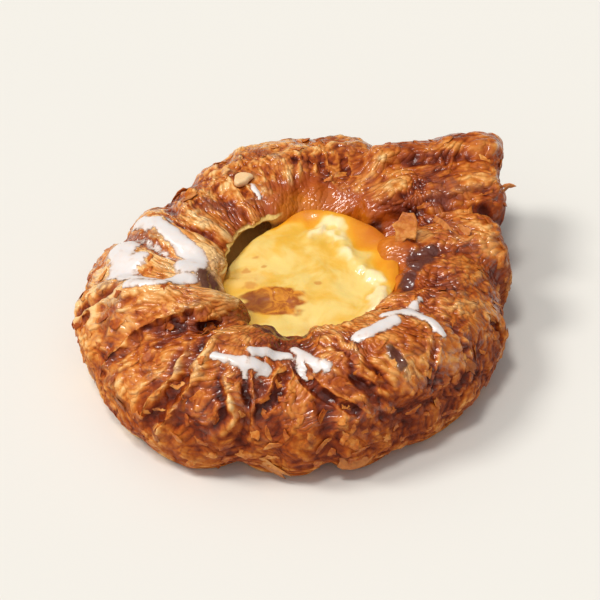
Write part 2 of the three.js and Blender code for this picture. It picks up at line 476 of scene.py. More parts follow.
# %% Draw the strokes
drawn = np.zeros(len(formed))
for stroke in crease_strokes:
    drawn += stroke_height(formed, *stroke)
drawn = np.clip(drawn, -2.6, 1.7)
outward = melted(facing(crust), crust_edges, 3)
formed = formed + outward * (drawn * free * off_table)[:, None]
write_points(crust, formed)
print("drawn creases from", round(drawn.min(), 1), "to", round(drawn.max(), 1), "mm")

# %% [markdown]
# ## Puffed skin and torn layers
# The steam under a glazed skin lifts it in small rounded nubs that lie along the twist, with tight valleys
# between them. Turned-over noise gives round crests and sharp valleys, and cells give single nubs. Low on the
# outside the skin never puffed: there it breaks in steps where the layers end.



# %% Nubs, wrinkles and layers
def nubs(points, size, seed, low, high):
    """Rounded nubs, each with a height of its own."""
    near, _, own = cells(points, size, seed)
    return (1 - np.clip(near * 1.15, 0, 1) ** 2) * (low + high * own)


wander = np.stack([noise(formed, 9, 40 + k) for k in range(3)], axis=1) * 2.6
wander += np.stack([noise(formed, 3.6, 50 + k) for k in range(3)], axis=1) * 0.7
fold_space = grain_space(formed, 0.30) + wander
nub_space = grain_space(formed, 0.55) + wander * 0.8
outer = ease(reach, 42, 50) * (1 - ease(formed[:, 2], 4, 20))

swell = noise(fold_space, 9.5, 1) * 0.9 + noise(formed, 6, 6) * 0.3
wrinkle = -ridges(fold_space, 6.5, 2) * 0.14 - ridges(nub_space, 3.3, 3) * 0.05
nub = nubs(nub_space, 2.1, 14, 0.35, 0.65)
small_nub = nubs(nub_space, 1.3, 24, 0.3, 0.7)
puffed = 1 - 0.75 * ease(noise(fold_space, 11, 15), 0.05, 0.4)

layer_height = formed[:, 2] + noise(formed, 12, 18) * 3.2 + noise(formed, 4, 19) * 1.1
layer_step = layer_height / 2.1
layered = (layer_step - np.floor(layer_step)) ** 2 * outer * ease(noise(formed, 8, 21), -0.3, 0.4)
torn_near, torn_second, torn_own = cells(grain_space(formed, 0.8) + wander * 1.2, 2.9, 34)
torn = (torn_own - 0.5) * ease(torn_second - torn_near, 0.0, 0.25)
print(round(float((puffed > 0.5).mean()) * 100), "% of the skin is puffed")

# %% Bake the relief in
AVERAGE_RELIEF = 1.15
relief = swell + wrinkle + (nub * 0.75 + small_nub * 0.4) * puffed * (1 - 0.3 * outer)
relief += layered * 0.35 + torn * (0.08 + 0.5 * outer) + noise(formed, 1.3, 20) * 0.1
relief -= AVERAGE_RELIEF
outward = facing(crust)
baked = formed + outward * (relief * free * off_table)[:, None]
baked[:, 2] = np.maximum(baked[:, 2], 0)
baked = np.where((free < 1e-3)[:, None], formed, melted(baked, crust_edges, 1, 0.3))
baked[:, 2] = np.maximum(baked[:, 2], 0)
write_points(crust, baked)
print("relief from", round(relief.min(), 2), "to", round(relief.max(), 2), "mm")

# %% [markdown]
# ## Places with a finish of their own
# Syrup lies in spots, glaze is brushed on what faces up, and custard climbs the bowl's wall and bakes to an
# amber film. Where the custard drew back, the wall is bare crumb under a pale torn lip. Each is a number from
# 0 to 1 on the points. The same numbers calm the relief there, since a wet surface levels out.


# %% Syrup and glaze
def near_spot(points, x, y, size_x, size_y, turn=0.0):
    """1 at a spot's middle and 0 at its edge, seen from above."""
    c, s = math.cos(math.radians(turn)), math.sin(math.radians(turn))
    dx, dy = points[:, 0] - x, points[:, 1] - y
    away = np.hypot((dx * c + dy * s) / size_x, (dy * c - dx * s) / size_y)
    return np.clip(1 - away, 0, 1)


ragged = noise(baked, 2.4, 60) * 0.18 + noise(baked, 1.1, 61) * 0.08
# Each spot: its middle, its half length and half width in mm, and its turn in degrees.
syrup_spots = [
    (32.0, -1.0, 7.0, 4.6, 50),
    (34.5, 2.5, 3.5, 3.0, 0),
    (28.0, -9.5, 6.0, 3.2, 80),
    (-24.0, -10.5, 6.6, 4.8, 110),
    (-7.0, -28.5, 7.5, 3.9, -15),
    (19.5, 15.0, 4.2, 3.2, 40),
    (24.5, -40.0, 6.0, 2.4, -52),
]
syrup = np.zeros(len(baked))
for spot in syrup_spots:
    syrup = np.maximum(syrup, ease(near_spot(baked, *spot) + ragged, 0.12, 0.42))
syrup *= ease(baked[:, 2], 22, 27)
keep_values(crust, "syrup", syrup)
brushed = ease(facing(crust)[:, 2], 0.0, 0.55) * ease(baked[:, 2] + noise(baked, 6, 66) * 4, 13, 23)
keep_values(crust, "brushed", brushed)
print("syrup on", int((syrup > 0.5).sum()), "points")

# %% The film of custard on the wall
angle = around(baked)[1]
below_film_top = custard_top - baked[:, 2]
film_reach = reach - 20.5 + noise(baked, 4, 63) * 1.8 + noise(baked, 1.8, 64) * 0.5
film = between(angle, -42, -20, 100, 125) * (1 - ease(film_reach, 2.0, 14.0)) * ease(below_film_top, -14, -4)
keep_values(crust, "custard_film", film)
print("custard film on", int((film > 0.5).sum()), "points")

# %% The bare wall and the torn lip at the back left
back_left = between(angle % 360, 96, 114, 184, 200)
to_middle = -np.sum(facing(crust)[:, :2] * baked[:, :2], axis=1) / np.maximum(reach, 1)
inner_wall = back_left * (1 - ease(reach, 24.5, 27)) * ease(to_middle, -0.3, 0.1)
lip_height = baked[:, 2] + ragged * 3
lip = inner_wall * between(lip_height, 27.4, 28.0, 28.4, 29.2)
hollow = inner_wall * (1 - ease(lip_height, 27.4, 28.0))
keep_values(crust, "crumb_lip", lip)
keep_values(crust, "hollow", hollow)
print("bare wall on", int((hollow > 0.5).sum()), "points, torn lip on", int((lip > 0.5).sum()))

# %% Level what is wet or bare, and round the syrup
smooth_band = back_left * between(reach, 23, 26, 29, 33) * ease(baked[:, 2], 27, 30)
calm = np.clip(syrup * 0.85 + film * 0.5 + hollow + smooth_band * 0.75, 0, 1)
baked = baked + (melted(baked, crust_edges, 6) - baked) * calm[:, None]
syrup_lumps = noise(baked, 2.8, 67) * 0.65 + noise(baked, 1.4, 68) * 0.26
baked += facing(crust) * (syrup * syrup_lumps)[:, None]
write_points(crust, baked)
print("levelled", int((calm > 0.5).sum()), "points")

# %% [markdown]
# ## What the oven did, and painted light and shade
# Colour follows shape: crests and thin edges are painted a light gold as painted light, and the creases stay
# sticky and are painted dark as painted shade. The smooth skin turns a deep purple brown. So the finished
# shape is measured once more, at a fine and at a coarse scale, and both numbers are kept on the points for
# the material. No oven browns evenly, so two more tables say how light each side is, partly from browning and
# partly as painted light, and how strongly the painted relief shade and light show in the colour. Faces that
# point up are painted lighter as well.

# %% Measure crests and creases
outward = facing(crust)
fine = height_over(baked, crust_edges, outward, 5)
broad = height_over(baked, crust_edges, outward, 60)
turn_relief = height_over(baked, crust_edges, outward, 200)
print("fine relief", round(float(np.std(fine)), 3), "mm, broad relief", round(float(np.std(broad)), 3), "mm")

# %% How light each side is, from browning and painted light
# Above 0 is lighter, below 0 darker, by angle round the ring. This is partly real browning and partly painted
# light: the left side, where the light falls, is painted lighter.
BROWNING_AND_LIGHT_BY_ANGLE = {
    0: -0.2, 40: -1.0, 52: -1.0, 64: -0.5, 90: -0.25, 140: -0.4, 168: 0.45, 185: 1.2, 200: 1.0, 222: 0.0,
    250: -0.5, 285: -0.5, 320: -0.4,
}
# How strongly the painted crease shade and crest light show in the colour, by angle round the ring.
RELIEF_SHADE_BY_ANGLE = {
    0: 1, 34: 0.75, 60: 0.8, 76: 1.4, 110: 1.5, 150: 1.25, 190: 1.15, 225: 1, 270: 1.1, 330: 1,
}
# Painted light: browned holds the real browning together with the painted light of the lit left side.
browned = by_angle(ring_angle, BROWNING_AND_LIGHT_BY_ANGLE)
browned += 1.3 * ease(near_spot(baked, 22.5, 28.5, 15, 9, 35) + ragged, 0.05, 0.6)
browned += 0.5 * ease(near_spot(baked, 3, 45, 22, 7, 0) + ragged, 0.1, 0.7)
# Painted shade and light: creases are made darker and crests lighter, from the measured relief.
relief_shade_and_light = np.clip(broad / 1.3, -1, 1) * 0.65 + np.clip(turn_relief / 2.2, -1, 1) * 0.75
# Painted light from above: faces that point up are made lighter and the walls darker.
painted_top_light = ease(melted(facing(crust)[:, 2], crust_edges, 6), 0.15, 0.9)
relief_shade_strength = by_angle(ring_angle, RELIEF_SHADE_BY_ANGLE)
relief_shade_and_light = relief_shade_and_light * relief_shade_strength + painted_top_light * 0.75 - 0.35
# Painted shade and light: the fine relief darkens small creases and lightens small crests, and the drawn
# creases are darkened too.
keep_values(crust, "fine_shade_and_light", np.clip(fine / 0.17, -1, 1) * relief_shade_strength)
keep_values(crust, "broad_tone_light_and_shade", relief_shade_and_light + browned + np.clip(drawn, -1.0, 0.9) * 0.3)
keep_vectors(crust, "grain", (grain_space(baked, 0.5) + wander * 0.8) * MM)
print("lightness from", round(browned.min(), 2), "to", round(browned.max(), 2))

# %% [markdown]
# ## Materials of the crust
# A single brown looks like clay. The crust's colour is a ramp from dark crease to pale flake, driven by the
# measured relief as painted shade in the creases and painted light on the crests, plus fine streaks along
# the grain. Apricot glaze is a clear coat that comes and goes, and a bump of fine crackle gives it
# something to glint on.


# %% Node helpers
class Board:
    """A short way to place and join nodes."""

    def __init__(self, tree):
        self.tree = tree

    def node(self, kind, **values):
        made = self.tree.nodes.new(kind)
        for name, value in values.items():
            setattr(made, name, value)
        return made

    def join(self, source, target):
        self.tree.links.new(source, target)

    def feed(self, socket, value):
        if hasattr(value, "is_output"):
            self.join(value, socket)
        else:
            socket.default_value = value

    def made(self, kind, sockets, output, **values):
        """Places a node, feeds its sockets by name and gives one output."""
        made = self.node(kind, **values)
        for name, value in sockets.items():
            self.feed(made.inputs[name], value)
        return made.outputs[output]

    def kept(self, name):
        """A number that was kept on the points."""
        return self.node("ShaderNodeAttribute", attribute_name=name).outputs["Fac"]

    def place(self):
        return self.node("ShaderNodeTexCoord").outputs["Object"]

    def math(self, operation, first, second=0.0, third=0.0):
        made = self.node("ShaderNodeMath", operation=operation)
        for socket, value in zip(made.inputs, (first, second, third)):
            self.feed(socket, value)
        return made.outputs[0]

    def spread(self, value, low, high, to_low=0.0, to_high=1.0):
        made = self.node("ShaderNodeMapRange", interpolation_type="SMOOTHSTEP")
        for socket, number in zip(made.inputs, (value, low, high, to_low, to_high)):
            self.feed(socket, number)
        return made.outputs["Result"]

    def blend(self, share, first, second):
        sockets = {"Factor": share, "A": first, "B": second}
        return self.made("ShaderNodeMix", sockets, "Result", data_type="RGBA")

    def noise(self, place, scale, detail=2.0, roughness=0.5, distortion=0.0):
        sockets = {"Vector": place, "Scale": scale, "Detail": detail, "Roughness": roughness}
        return self.made("ShaderNodeTexNoise", {**sockets, "Distortion": distortion}, "Fac")

    def cells(self, place, scale):
        return self.made("ShaderNodeTexVoronoi", {"Vector": place, "Scale": scale}, "Distance")

    def ramp(self, value, stops):
        made = self.node("ShaderNodeValToRGB")
        self.feed(made.inputs["Fac"], value)
        ramp = made.color_ramp
        while len(ramp.elements) < len(stops):
            ramp.elements.new(0.5)
        for element, (place, colour) in zip(ramp.elements, stops):
            element.position = place
            element.color = (*colour, 1)
        return made.outputs["Color"]

    def bump(self, height, strength, distance):
        sockets = {"Height": height, "Strength": strength, "Distance": distance}
        return self.made("ShaderNodeBump", sockets, "Normal")

    def surface(self, **values):
        """The shader and the output, with sockets set by name."""
        shader = self.node("ShaderNodeBsdfPrincipled")
        for name, value in values.items():
            self.feed(shader.inputs[name.replace("_", " ")], value)
        output = self.node("ShaderNodeOutputMaterial")
        self.join(shader.outputs["BSDF"], output.inputs["Surface"])


def new_material(name):
    """An empty material and a board for its nodes."""
    material = bpy.data.materials.new(name)
    material.use_nodes = True
    material.node_tree.nodes.clear()
    return material, Board(material.node_tree)


print("node helpers are ready")

# %% The bake: a group that gives colour with painted light and shade, height and glaze
CRUST_STOPS = [
    (0.0, (0.068, 0.0065, 0.0010)),
    (0.2, (0.185, 0.0220, 0.0020)),
    (0.42, (0.400, 0.074, 0.0055)),
    (0.60, (0.610, 0.172, 0.020)),
    (0.78, (0.790, 0.335, 0.080)),
    (1.0, (0.930, 0.570, 0.235)),
]


BAKE_INPUTS = {"Grain": "Vector", "Place": "Vector", "Fine light and shade": "Float", "Broad tone, light and shade": "Float"}
BAKE_OUTPUTS = {"Colour": "Color", "Height": "Float", "Glaze": "Float"}


def make_bake_group():
    group = bpy.data.node_groups.new("Baked crust", "ShaderNodeTree")
    for side, sockets in (("INPUT", BAKE_INPUTS), ("OUTPUT", BAKE_OUTPUTS)):
        for name, kind in sockets.items():
            group.interface.new_socket(name, in_out=side, socket_type="NodeSocket" + kind)
    board = Board(group)
    given = board.node("NodeGroupInput")
    result = board.node("NodeGroupOutput")
    grain, place = given.outputs["Grain"], given.outputs["Place"]
    streaks = board.noise(grain, 620, 4, 0.6, 0.4)
    bubbles = board.cells(grain, 800)
    bubbles = board.math("MULTIPLY_ADD", board.math("MULTIPLY", bubbles, bubbles), -1.6, 1.0)
    mottle = board.noise(place, 480, 4, 0.6)
    patches = board.noise(place, 75, 3, 0.55, 0.6)
    # Painted light and shade: the kept relief makes crests lighter and creases darker.
    tone = board.math("MULTIPLY_ADD", given.outputs["Fine light and shade"], 0.13, 0.47)
    tone = board.math("MULTIPLY_ADD", given.outputs["Broad tone, light and shade"], 0.22, tone)
    # The bubbles also paint shade into the dips between the small bumps that they raise.
    for pattern, low, high, darker, lighter in (
        (streaks, 0.3, 0.7, -0.04, 0.04),
        (bubbles, 0.0, 1.0, -0.06, 0.06),
        (mottle, 0.3, 0.7, -0.07, 0.07),
        (patches, 0.3, 0.7, -0.19, 0.20),
    ):
        tone = board.math("ADD", tone, board.spread(pattern, low, high, darker, lighter))
    colour = board.ramp(tone, CRUST_STOPS)
    skin = board.noise(place, 85, 4, 0.6, 1.2)
    skin = board.spread(skin, 0.54, 0.66)
    skin = board.math("MULTIPLY", skin, board.spread(given.outputs["Fine light and shade"], -0.4, 0.2, 0.3, 0.72))
    colour = board.blend(skin, colour, (0.22, 0.046, 0.019, 1))
    board.join(colour, result.inputs["Colour"])
    height = board.math("MULTIPLY_ADD", streaks, 0.3, board.math("MULTIPLY", mottle, 0.35))
    height = board.math("MULTIPLY_ADD", bubbles, 0.8, height)
    board.join(height, result.inputs["Height"])
    glaze = board.noise(place, 95, 3, 0.6)
    board.join(board.spread(glaze, 0.38, 0.62), result.inputs["Glaze"])
    return group


bake_group = make_bake_group()
print("bake group with", len(bake_group.nodes), "nodes")


# %% The crust's material
def make_crust_material():
    material, board = new_material("baked crust")
    place = board.place()
    bake = board.node("ShaderNodeGroup", node_tree=bake_group)
    grain = board.node("ShaderNodeAttribute", attribute_name="grain")
    board.join(grain.outputs["Vector"], bake.inputs["Grain"])
    board.join(place, bake.inputs["Place"])
    board.join(board.kept("fine_shade_and_light"), bake.inputs["Fine light and shade"])
    board.join(board.kept("broad_tone_light_and_shade"), bake.inputs["Broad tone, light and shade"])
    colour = bake.outputs["Colour"]
    film = board.kept("custard_film")
    film_tone = board.math("ADD", film, board.spread(board.noise(place, 260, 3, 0.6), 0.3, 0.7, -0.1, 0.1))
    film_colour = board.ramp(film_tone, [
        (0.0, (0.28, 0.036, 0.003)),
        (0.45, (0.40, 0.068, 0.003)),
        (0.8, (0.50, 0.110, 0.004)),
        (1.0, (0.62, 0.170, 0.005)),
    ])
    colour = board.blend(board.spread(film, 0.02, 0.4, 0, 0.92), colour, film_colour)
    syrup = board.kept("syrup")
    colour = board.blend(board.math("MULTIPLY", syrup, 0.93), colour, (0.085, 0.016, 0.009, 1))
    inner = board.kept("hollow")
    colour = board.blend(inner, colour, (0.75, 0.42, 0.10, 1))
    lip = board.kept("crumb_lip")
    colour = board.blend(board.spread(lip, 0.2, 0.8), colour, (0.95, 0.68, 0.24, 1))
    wet = board.math("MAXIMUM", syrup, board.spread(film, 0.03, 0.3, 0, 0.55))
    inside = board.math("MAXIMUM", inner, lip)
    brushed = board.kept("brushed")
    glaze = board.math("MULTIPLY", brushed, board.spread(bake.outputs["Glaze"], 0, 1, 0.3, 1.0))
    wet_coat = board.math("MAXIMUM", board.math("MULTIPLY", wet, 0.4), syrup)
    glaze = board.math("MAXIMUM", glaze, wet_coat)
    glaze = board.math("MULTIPLY", glaze, board.spread(inside, 0, 1, 1, 0))
    still = board.math("MAXIMUM", wet, board.math("MULTIPLY", inside, 0.8))
    height = board.math("MULTIPLY", bake.outputs["Height"], board.spread(still, 0, 0.8, 1.0, 0.12))
    wet_waves = board.math("MULTIPLY", board.noise(place, 380, 2, 0.5), wet)
    height = board.math("MULTIPLY_ADD", wet_waves, 1.2, height)
    crackle = board.bump(height, 0.8, 0.0008)
    board.surface(
        Base_Color=colour,
        Roughness=board.spread(glaze, 0, 1, 0.6, 0.3),
        Specular_IOR_Level=0.15,
        Coat_Weight=glaze,
        Coat_Roughness=0.09,
        Coat_IOR=1.55,
        Normal=crackle,
        Coat_Normal=crackle,
    )
    return material


crust.data.materials.append(make_crust_material())
shade_smooth(crust)
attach(crust, "root")
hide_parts("dough")
print("crust finished")

# %% [markdown]
# ## Custard
# The custard was poured in wet, rose in the oven, sank again and drew back from the dough at the back left.
# Its skin is glossy with soft waves, one browned patch, and a curdled, whitish ridge along its right rim. It
# starts as the solid, is remeshed finely and spread a little, so that it meets the wall all round but there.

# %% The custard's skin, and its level carried out to the rim
CUSTARD_VOXEL = 0.4
custard = copy_of_solid("custard", "custard_pool")
finish_with(custard, "REMESH", mode="VOXEL", voxel_size=CUSTARD_VOXEL * MM, use_smooth_shade=True)
finish_with(custard, "SMOOTH", factor=0.5, iterations=18)
thin_out(custard, face_middles(custard)[:, 2] < 19, 0.05)
set_custard = read_points(custard)
pool_middle = np.array(CUSTARD_FROM_MIDDLE) / MM
pool = set_custard - pool_middle
pool_reach, pool_angle = around(pool)
flat_part = (facing(custard)[:, 2] > 0.9) & (pool_reach < 16)
terms = np.stack([np.ones(len(pool)), pool[:, 0], pool[:, 1], pool[:, 0] ** 2 + pool[:, 1] ** 2], axis=1)
level = terms @ np.linalg.lstsq(terms[flat_part], set_custard[flat_part, 2], rcond=None)[0]
drawn_back = between(pool_angle, 88, 112, 178, 200)
rim = ease(pool_reach, 14, 20.5)
upper = ease(set_custard[:, 2], 20, 24)
rounded = ease(facing(custard)[:, 2], 0.0, 0.3) * ease(pool_reach, 14, 17) * (1 - drawn_back)
set_custard[:, 2] += rounded * np.maximum(level - set_custard[:, 2], 0)
spread = 1 + rim * (0.15 - 0.06 * drawn_back)
set_custard[:, :2] = pool[:, :2] * spread[:, None] + pool_middle[:2]
climb = rim**3 * (1 - drawn_back) * upper
set_custard[:, 2] += climb * (0.5 + 1.6 * between(pool_angle, -60, -20, 95, 120))
print("custard:", triangles_of(custard), "triangles")

# %% Curds, waves and the browned patch
# How far the pale custard reaches from its own middle, in mm by angle. Beyond it lies the orange film.
POOL_EDGE = {
    -60: 23, -30: 22, 0: 17.5, 35: 14.5, 55: 16.5, 71: 19.5, 88: 16, 118: 18.5, 150: 20.3, 185: 21, 215: 23,
    240: 23,
}
past_edge = pool_reach - by_angle(pool_angle, POOL_EDGE)
past_edge += noise(set_custard, 4, 89) * 1.2 + noise(set_custard, 1.6, 79) * 0.5
curd = np.exp(-(((past_edge + 2.0) / 2.2) ** 2)) * between(pool_angle, -62, -35, 78, 98)
lumps = 0.5 + 0.4 * noise(set_custard, 4.0, 80) + 0.35 * noise(set_custard, 2.0, 88)
set_custard[:, 2] += upper * curd * np.clip(0.35 + 1.6 * lumps, 0, 2.2)
waves = noise(set_custard, 9, 81) * 0.55 + noise(set_custard, 4.2, 82) * 0.3
waves += noise(set_custard, 1.9, 83) * 0.09
set_custard[:, 2] += upper * waves
skin_spot = near_spot(set_custard, -7.6, -12.0, 12.5, 7.0, -6)
skin_spot += noise(set_custard * np.array([0.5, 1.4, 1]), 2.0, 84) * 0.2
skin_spot = ease(skin_spot + noise(set_custard, 1.3, 85) * 0.1, 0.05, 0.6) * upper
skin_wrinkle = noise(set_custard * np.array([1, 2.2, 1]), 2.2, 86) * 0.25
set_custard[:, 2] += skin_spot * (0.1 + 0.5 * skin_wrinkle)
write_points(custard, set_custard)
print("browned patch on", int((skin_spot > 0.5).sum()), "points")

# %% Numbers for the custard's material
FRECKLES = [(-14.5, 0.5, 1.5), (-13.2, -6.0, 2.2), (-9.5, 1.5, 1.0), (4.5, -6.2, 1.2), (-12.0, 5.0, 1.0)]
freckle = np.zeros(len(set_custard))
for x, y, size in FRECKLES:
    freckle = np.maximum(freckle, near_spot(set_custard, x, y, size * 1.4, size))
keep_values(custard, "skin_spot", skin_spot)
keep_values(custard, "dark_end", ease(near_spot(set_custard, -13.5, -12.5, 8, 6), 0.0, 0.6))
keep_values(custard, "freckle", ease(freckle + noise(set_custard, 1.1, 87) * 0.3, 0.15, 0.7))
keep_values(custard, "curd", curd * upper * ease(lumps, 0.2, 0.6))
keep_values(custard, "rim", np.clip(past_edge / 6, 0, 1))
print("curds on", int((curd > 0.5).sum()), "points, the film beyond them on", int((past_edge > 0).sum()))


# %% The custard's material
def make_custard_material():
    material, board = new_material("set custard")
    place = board.place()
    cloud = board.noise(place, 110, 3, 0.55, 0.5)
    cream, yolk = (0.84, 0.60, 0.175, 1), (0.80, 0.44, 0.045, 1)
    colour = board.blend(board.spread(cloud, 0.38, 0.64), cream, yolk)
    pale = board.noise(place, 60, 2, 0.5)
    colour = board.blend(board.spread(pale, 0.5, 0.7, 0, 0.5), colour, (0.93, 0.70, 0.30, 1))
    rim_share = board.kept("rim")
    film_colour = board.ramp(rim_share, [
        (0.0, (0.86, 0.44, 0.020)),
        (0.4, (0.74, 0.27, 0.006)),
        (1.0, (0.56, 0.135, 0.004)),
    ])
    colour = board.blend(board.spread(rim_share, 0.0, 0.22, 0, 0.97), colour, film_colour)
    curd_share = board.kept("curd")
    colour = board.blend(board.spread(curd_share, 0.1, 0.7, 0, 0.85), colour, (0.94, 0.77, 0.42, 1))
    spot_share = board.kept("skin_spot")
    spot_noise = board.noise(place, 300, 4, 0.6, 1.2)
    burnt, toasted = (0.36, 0.085, 0.008, 1), (0.70, 0.26, 0.020, 1)
    browned = board.blend(board.spread(spot_noise, 0.35, 0.65), burnt, toasted)
    dark_share = board.kept("dark_end")
    browned = board.blend(board.math("MULTIPLY", dark_share, 0.75), browned, (0.20, 0.045, 0.010, 1))
    colour = board.blend(board.spread(spot_share, 0.1, 0.75), colour, browned)
    freckle_share = board.kept("freckle")
    colour = board.blend(board.spread(freckle_share, 0.0, 1.0, 0, 0.7), colour, (0.62, 0.24, 0.035, 1))
    wave = board.noise(place, 700, 3, 0.5)
    board.surface(
        Base_Color=colour,
        Roughness=board.spread(spot_share, 0, 1, 0.30, 0.42),
        Specular_IOR_Level=0.15,
        Subsurface_Weight=0.12,
        Subsurface_Radius=(0.004, 0.002, 0.0006),
        Subsurface_Scale=0.5,
        Coat_Weight=board.spread(board.math("MAXIMUM", rim_share, spot_share), 0, 0.4, 0.9, 0.35),
        Coat_Roughness=0.08,
        Normal=board.bump(wave, 0.25, 0.0004),
    )
    return material


custard.data.materials.append(make_custard_material())
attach(custard, "root")
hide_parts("custard")
print("custard finished")

# %% [markdown]
# ## Icing
# Thin sugar icing runs off a spoon in pools and streaks, fills the crust's small relief and feathers out over
# the bumps. Each streak is a short chain of drops seen from above. The crust's own faces under it are copied,
# melted smooth and lifted by the icing's depth, so the edge is where that skin dips back below the crust.

# %% Where the icing fell
# Each streak is a row of drops: x, y and half width in mm.
icing_streaks = [
    [(-47.5, 3.0, 5.4), (-46.5, -3.0, 6.0), (-43.0, -2.5, 4.2)],
    [(-43.0, 15.5, 3.0), (-37.0, 9.0, 3.2), (-31.5, 2.0, 3.4), (-26.5, -4.2, 4.2), (-30.5, -7.0, 3.0)],
    [(-46.5, -8.5, 2.8), (-43.0, -12.5, 2.2), (-37.0, -14.0, 2.0), (-29.5, -10.5, 2.6)],
    [(-44.5, -15.5, 1.8), (-37.5, -17.2, 1.4), (-30.0, -14.5, 1.8)],
    [(-13.2, 27.5, 0.9), (-11.0, 23.0, 1.1)],
    [(-21.5, -41.0, 1.1), (-15.0, -43.0, 2.0), (-9.0, -43.0, 2.3)],
    [(-12.0, -39.5, 1.8), (-8.0, -38.5, 2.0), (-3.0, -38.0, 1.9)],
    [(-1.2, -35.5, 2.0), (2.5, -40.0, 2.3), (6.2, -43.0, 1.9)],
    [(0.5, -43.5, 1.3)],
    [(15.0, -34.0, 2.2), (20.0, -31.0, 2.8), (24.5, -27.6, 2.4)],
    [(21.5, -26.0, 1.3), (28.5, -24.2, 2.4), (33.0, -26.6, 2.1), (36.4, -30.4, 1.4)],
    [(29.5, -21.0, 1.8), (31.0, -17.5, 1.2)],
]


def icing_share(points):
    """1 in the middle of a streak, 0 at its edge and less outside."""
    best = np.full(len(points), -9.0)
    spots = points[:, :2]
    for streak in icing_streaks:
        for first, last in zip(streak, streak[1:] or streak):
            start, end = np.array(first[:2]), np.array(last[:2])
            way = end - start
            length = max(float(way @ way), 1e-9)
            share = np.clip((spots - start) @ way / length, 0, 1)
            away = np.linalg.norm(spots - start - share[:, None] * way, axis=1)
            wide = first[2] + (last[2] - first[2]) * share
            best = np.maximum(best, 1 - away / wide)
    return best


print("icing in", len(icing_streaks), "streaks")


# %% Lift a skin of icing off the crust
def share_of_crust(piece, wanted, name):
    """A new piece made of a copy of the wanted faces. Also gives each new point's place in the old mesh."""
    corners = [tuple(face.vertices) for face, keep in zip(piece.data.polygons, wanted) if keep]
    used = sorted({corner for face in corners for corner in face})
    place = {old: new for new, old in enumerate(used)}
    mesh = bpy.data.meshes.new(name)
    coordinates = [piece.data.vertices[old].co[:] for old in used]
    mesh.from_pydata(coordinates, [], [[place[c] for c in face] for face in corners])
    return new_object(name, mesh), np.array(used)


ICING_THICKNESS = 0.9
edge_noise = noise(baked, 4.5, 90) * 0.24 + noise(baked, 1.8, 91) * 0.08
iced = icing_share(baked) + edge_noise
iced = np.where((baked[:, 2] > 17) & (reach > 21) & (hollow + lip < 0.3), iced, -1)
face_iced = np.array([max(iced[v] for v in face.vertices) for face in crust.data.polygons])
icing, source = share_of_crust(crust, face_iced > -0.35, "icing")
smooth_crust = melted(baked, crust_edges, 10)
smooth_out = melted(facing(crust), crust_edges, 14)
smooth_out /= np.linalg.norm(smooth_out, axis=1)[:, None]
depth = ease(iced, -0.1, 0.65) * 0.78 + noise(baked, 5, 92) * 0.1 - 0.16
lifted = smooth_crust + smooth_out * depth[:, None]
write_points(icing, lifted[source])
above_crust = np.sum((lifted - baked) * smooth_out, axis=1)
keep_values(icing, "depth", np.clip(above_crust[source], 0, 2))
finish_with(icing, "SOLIDIFY", thickness=ICING_THICKNESS * MM, offset=-1)
print("icing:", triangles_of(icing), "triangles")


# %% The icing's material
def make_icing_material():
    material, board = new_material("sugar icing")
    place = board.place()
    depth_share = board.kept("depth")
    cloud = board.noise(place, 500, 3, 0.6)
    cover = board.math("ADD", depth_share, board.spread(cloud, 0.3, 0.7, -0.12, 0.12))
    colour = board.ramp(cover, [
        (0.0, (0.64, 0.42, 0.30)),
        (0.25, (0.72, 0.58, 0.50)),
        (0.45, (0.78, 0.69, 0.64)),
        (0.65, (0.77, 0.71, 0.68)),
    ])
    board.surface(
        Alpha=board.spread(cover, 0.0, 0.36, 0.0, 1.0),
        Base_Color=colour,
        Roughness=0.34,
        Subsurface_Weight=0.15,
        Subsurface_Radius=(0.002, 0.0014, 0.001),
        Subsurface_Scale=0.4,
        Coat_Weight=0.45,
        Coat_Roughness=0.16,
        Normal=board.bump(board.noise(place, 900, 2, 0.5), 0.12, 0.0003),
    )
    return material


icing.data.materials.append(make_icing_material())
shade_smooth(icing)
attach(icing, "root")
print("icing finished")

# %% [markdown]
# ## A chip of nut
# One pale chip of roasted nut sticks to the glaze at the back left. It's a small sphere squeezed into a chip
# and made uneven. A ray cast down finds the crust below it, so that it sits a little way into the glaze.

# %% The chip
CHIP_PLACE = Vector((-16.0, 29.0, 80))
CHIP_HALF_SIZES = (2.9, 1.9, 1.8)
CHIP_TURN = math.radians(38)
CHIP_LIFT = 0.75
deselect()
bpy.ops.mesh.primitive_ico_sphere_add(subdivisions=4, radius=1 * MM, location=(0, 0, 0))
chip = bpy.context.object
chip.name = "nut_chip"
ball = read_points(chip) + ring_middle_mm
ball *= 1 + (noise(ball, 0.9, 110) * 0.22 + noise(ball, 0.4, 111) * 0.07)[:, None]
ball[:, 2] = np.clip(ball[:, 2], -0.6, 0.55)
ball[:, 1] -= 0.35 * ball[:, 0] ** 2
ball *= np.array(CHIP_HALF_SIZES)
c, s = math.cos(CHIP_TURN), math.sin(CHIP_TURN)
ball[:, :2] = ball[:, :2] @ np.array([[c, s], [-s, c]])
_, seat, _, _ = crust.ray_cast(CHIP_PLACE * MM + ring_middle, Vector((0, 0, -1)))
write_points(chip, ball + np.array((seat - ring_middle) / MM) + np.array([0, 0, CHIP_LIFT]))
finish_with(chip, "SMOOTH", factor=0.4, iterations=2)
shade_smooth(chip)
print("nut chip:", triangles_of(chip), "triangles")

